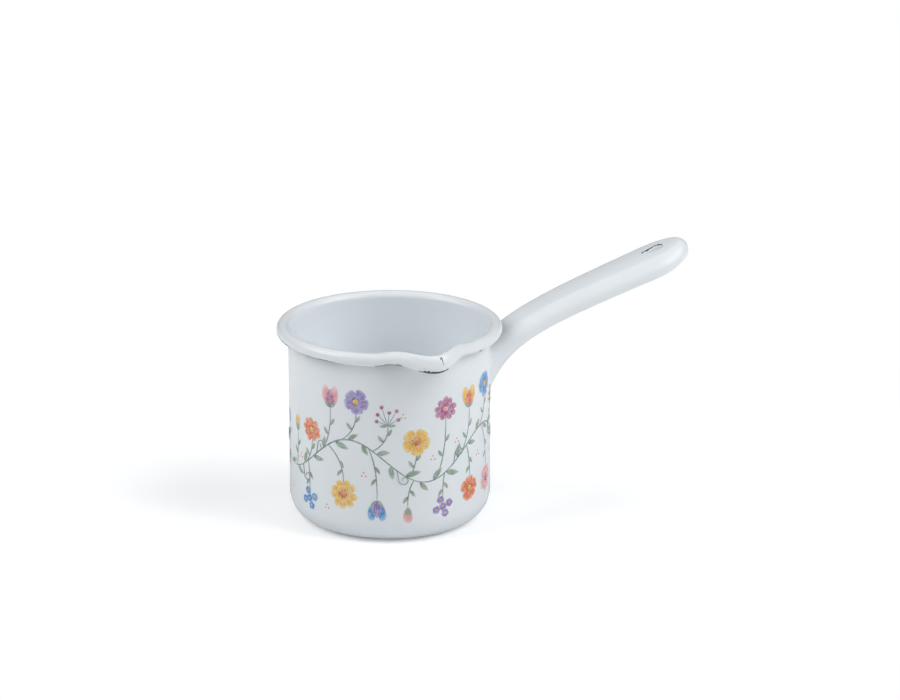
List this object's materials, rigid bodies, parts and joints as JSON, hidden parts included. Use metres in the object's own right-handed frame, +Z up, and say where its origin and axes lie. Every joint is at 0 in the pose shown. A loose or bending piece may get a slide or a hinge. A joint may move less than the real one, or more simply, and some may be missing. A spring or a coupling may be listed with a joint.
{
  "type": "milk pan",
  "caption": "Small deep milk pan of enamelled sheet steel with a curled rim, a pressed pouring lip and a hollow channel handle with a hanging slot.",
  "frame": {"origin": "centre of the base's underside, on the cup's axis", "axes": "+Z up along the cup's axis, +X along the handle, the pouring lip points to -Y"},
  "size_m": [0.2006, 0.1122, 0.1157],
  "materials": {
    "vessel_enamel": "glossy white vitreous enamel on pressed sheet steel",
    "handle_enamel": "glossy white vitreous enamel on pressed sheet steel",
    "weld_enamel": "weld bead covered by the same white enamel"
  },
  "bodies": {
    "root": {"vessel": "vessel_enamel", "handle": "handle_enamel", "weld_near": "weld_enamel", "weld_far": "weld_enamel", "weld_crown": "weld_enamel"}
  },
  "joints": []
}
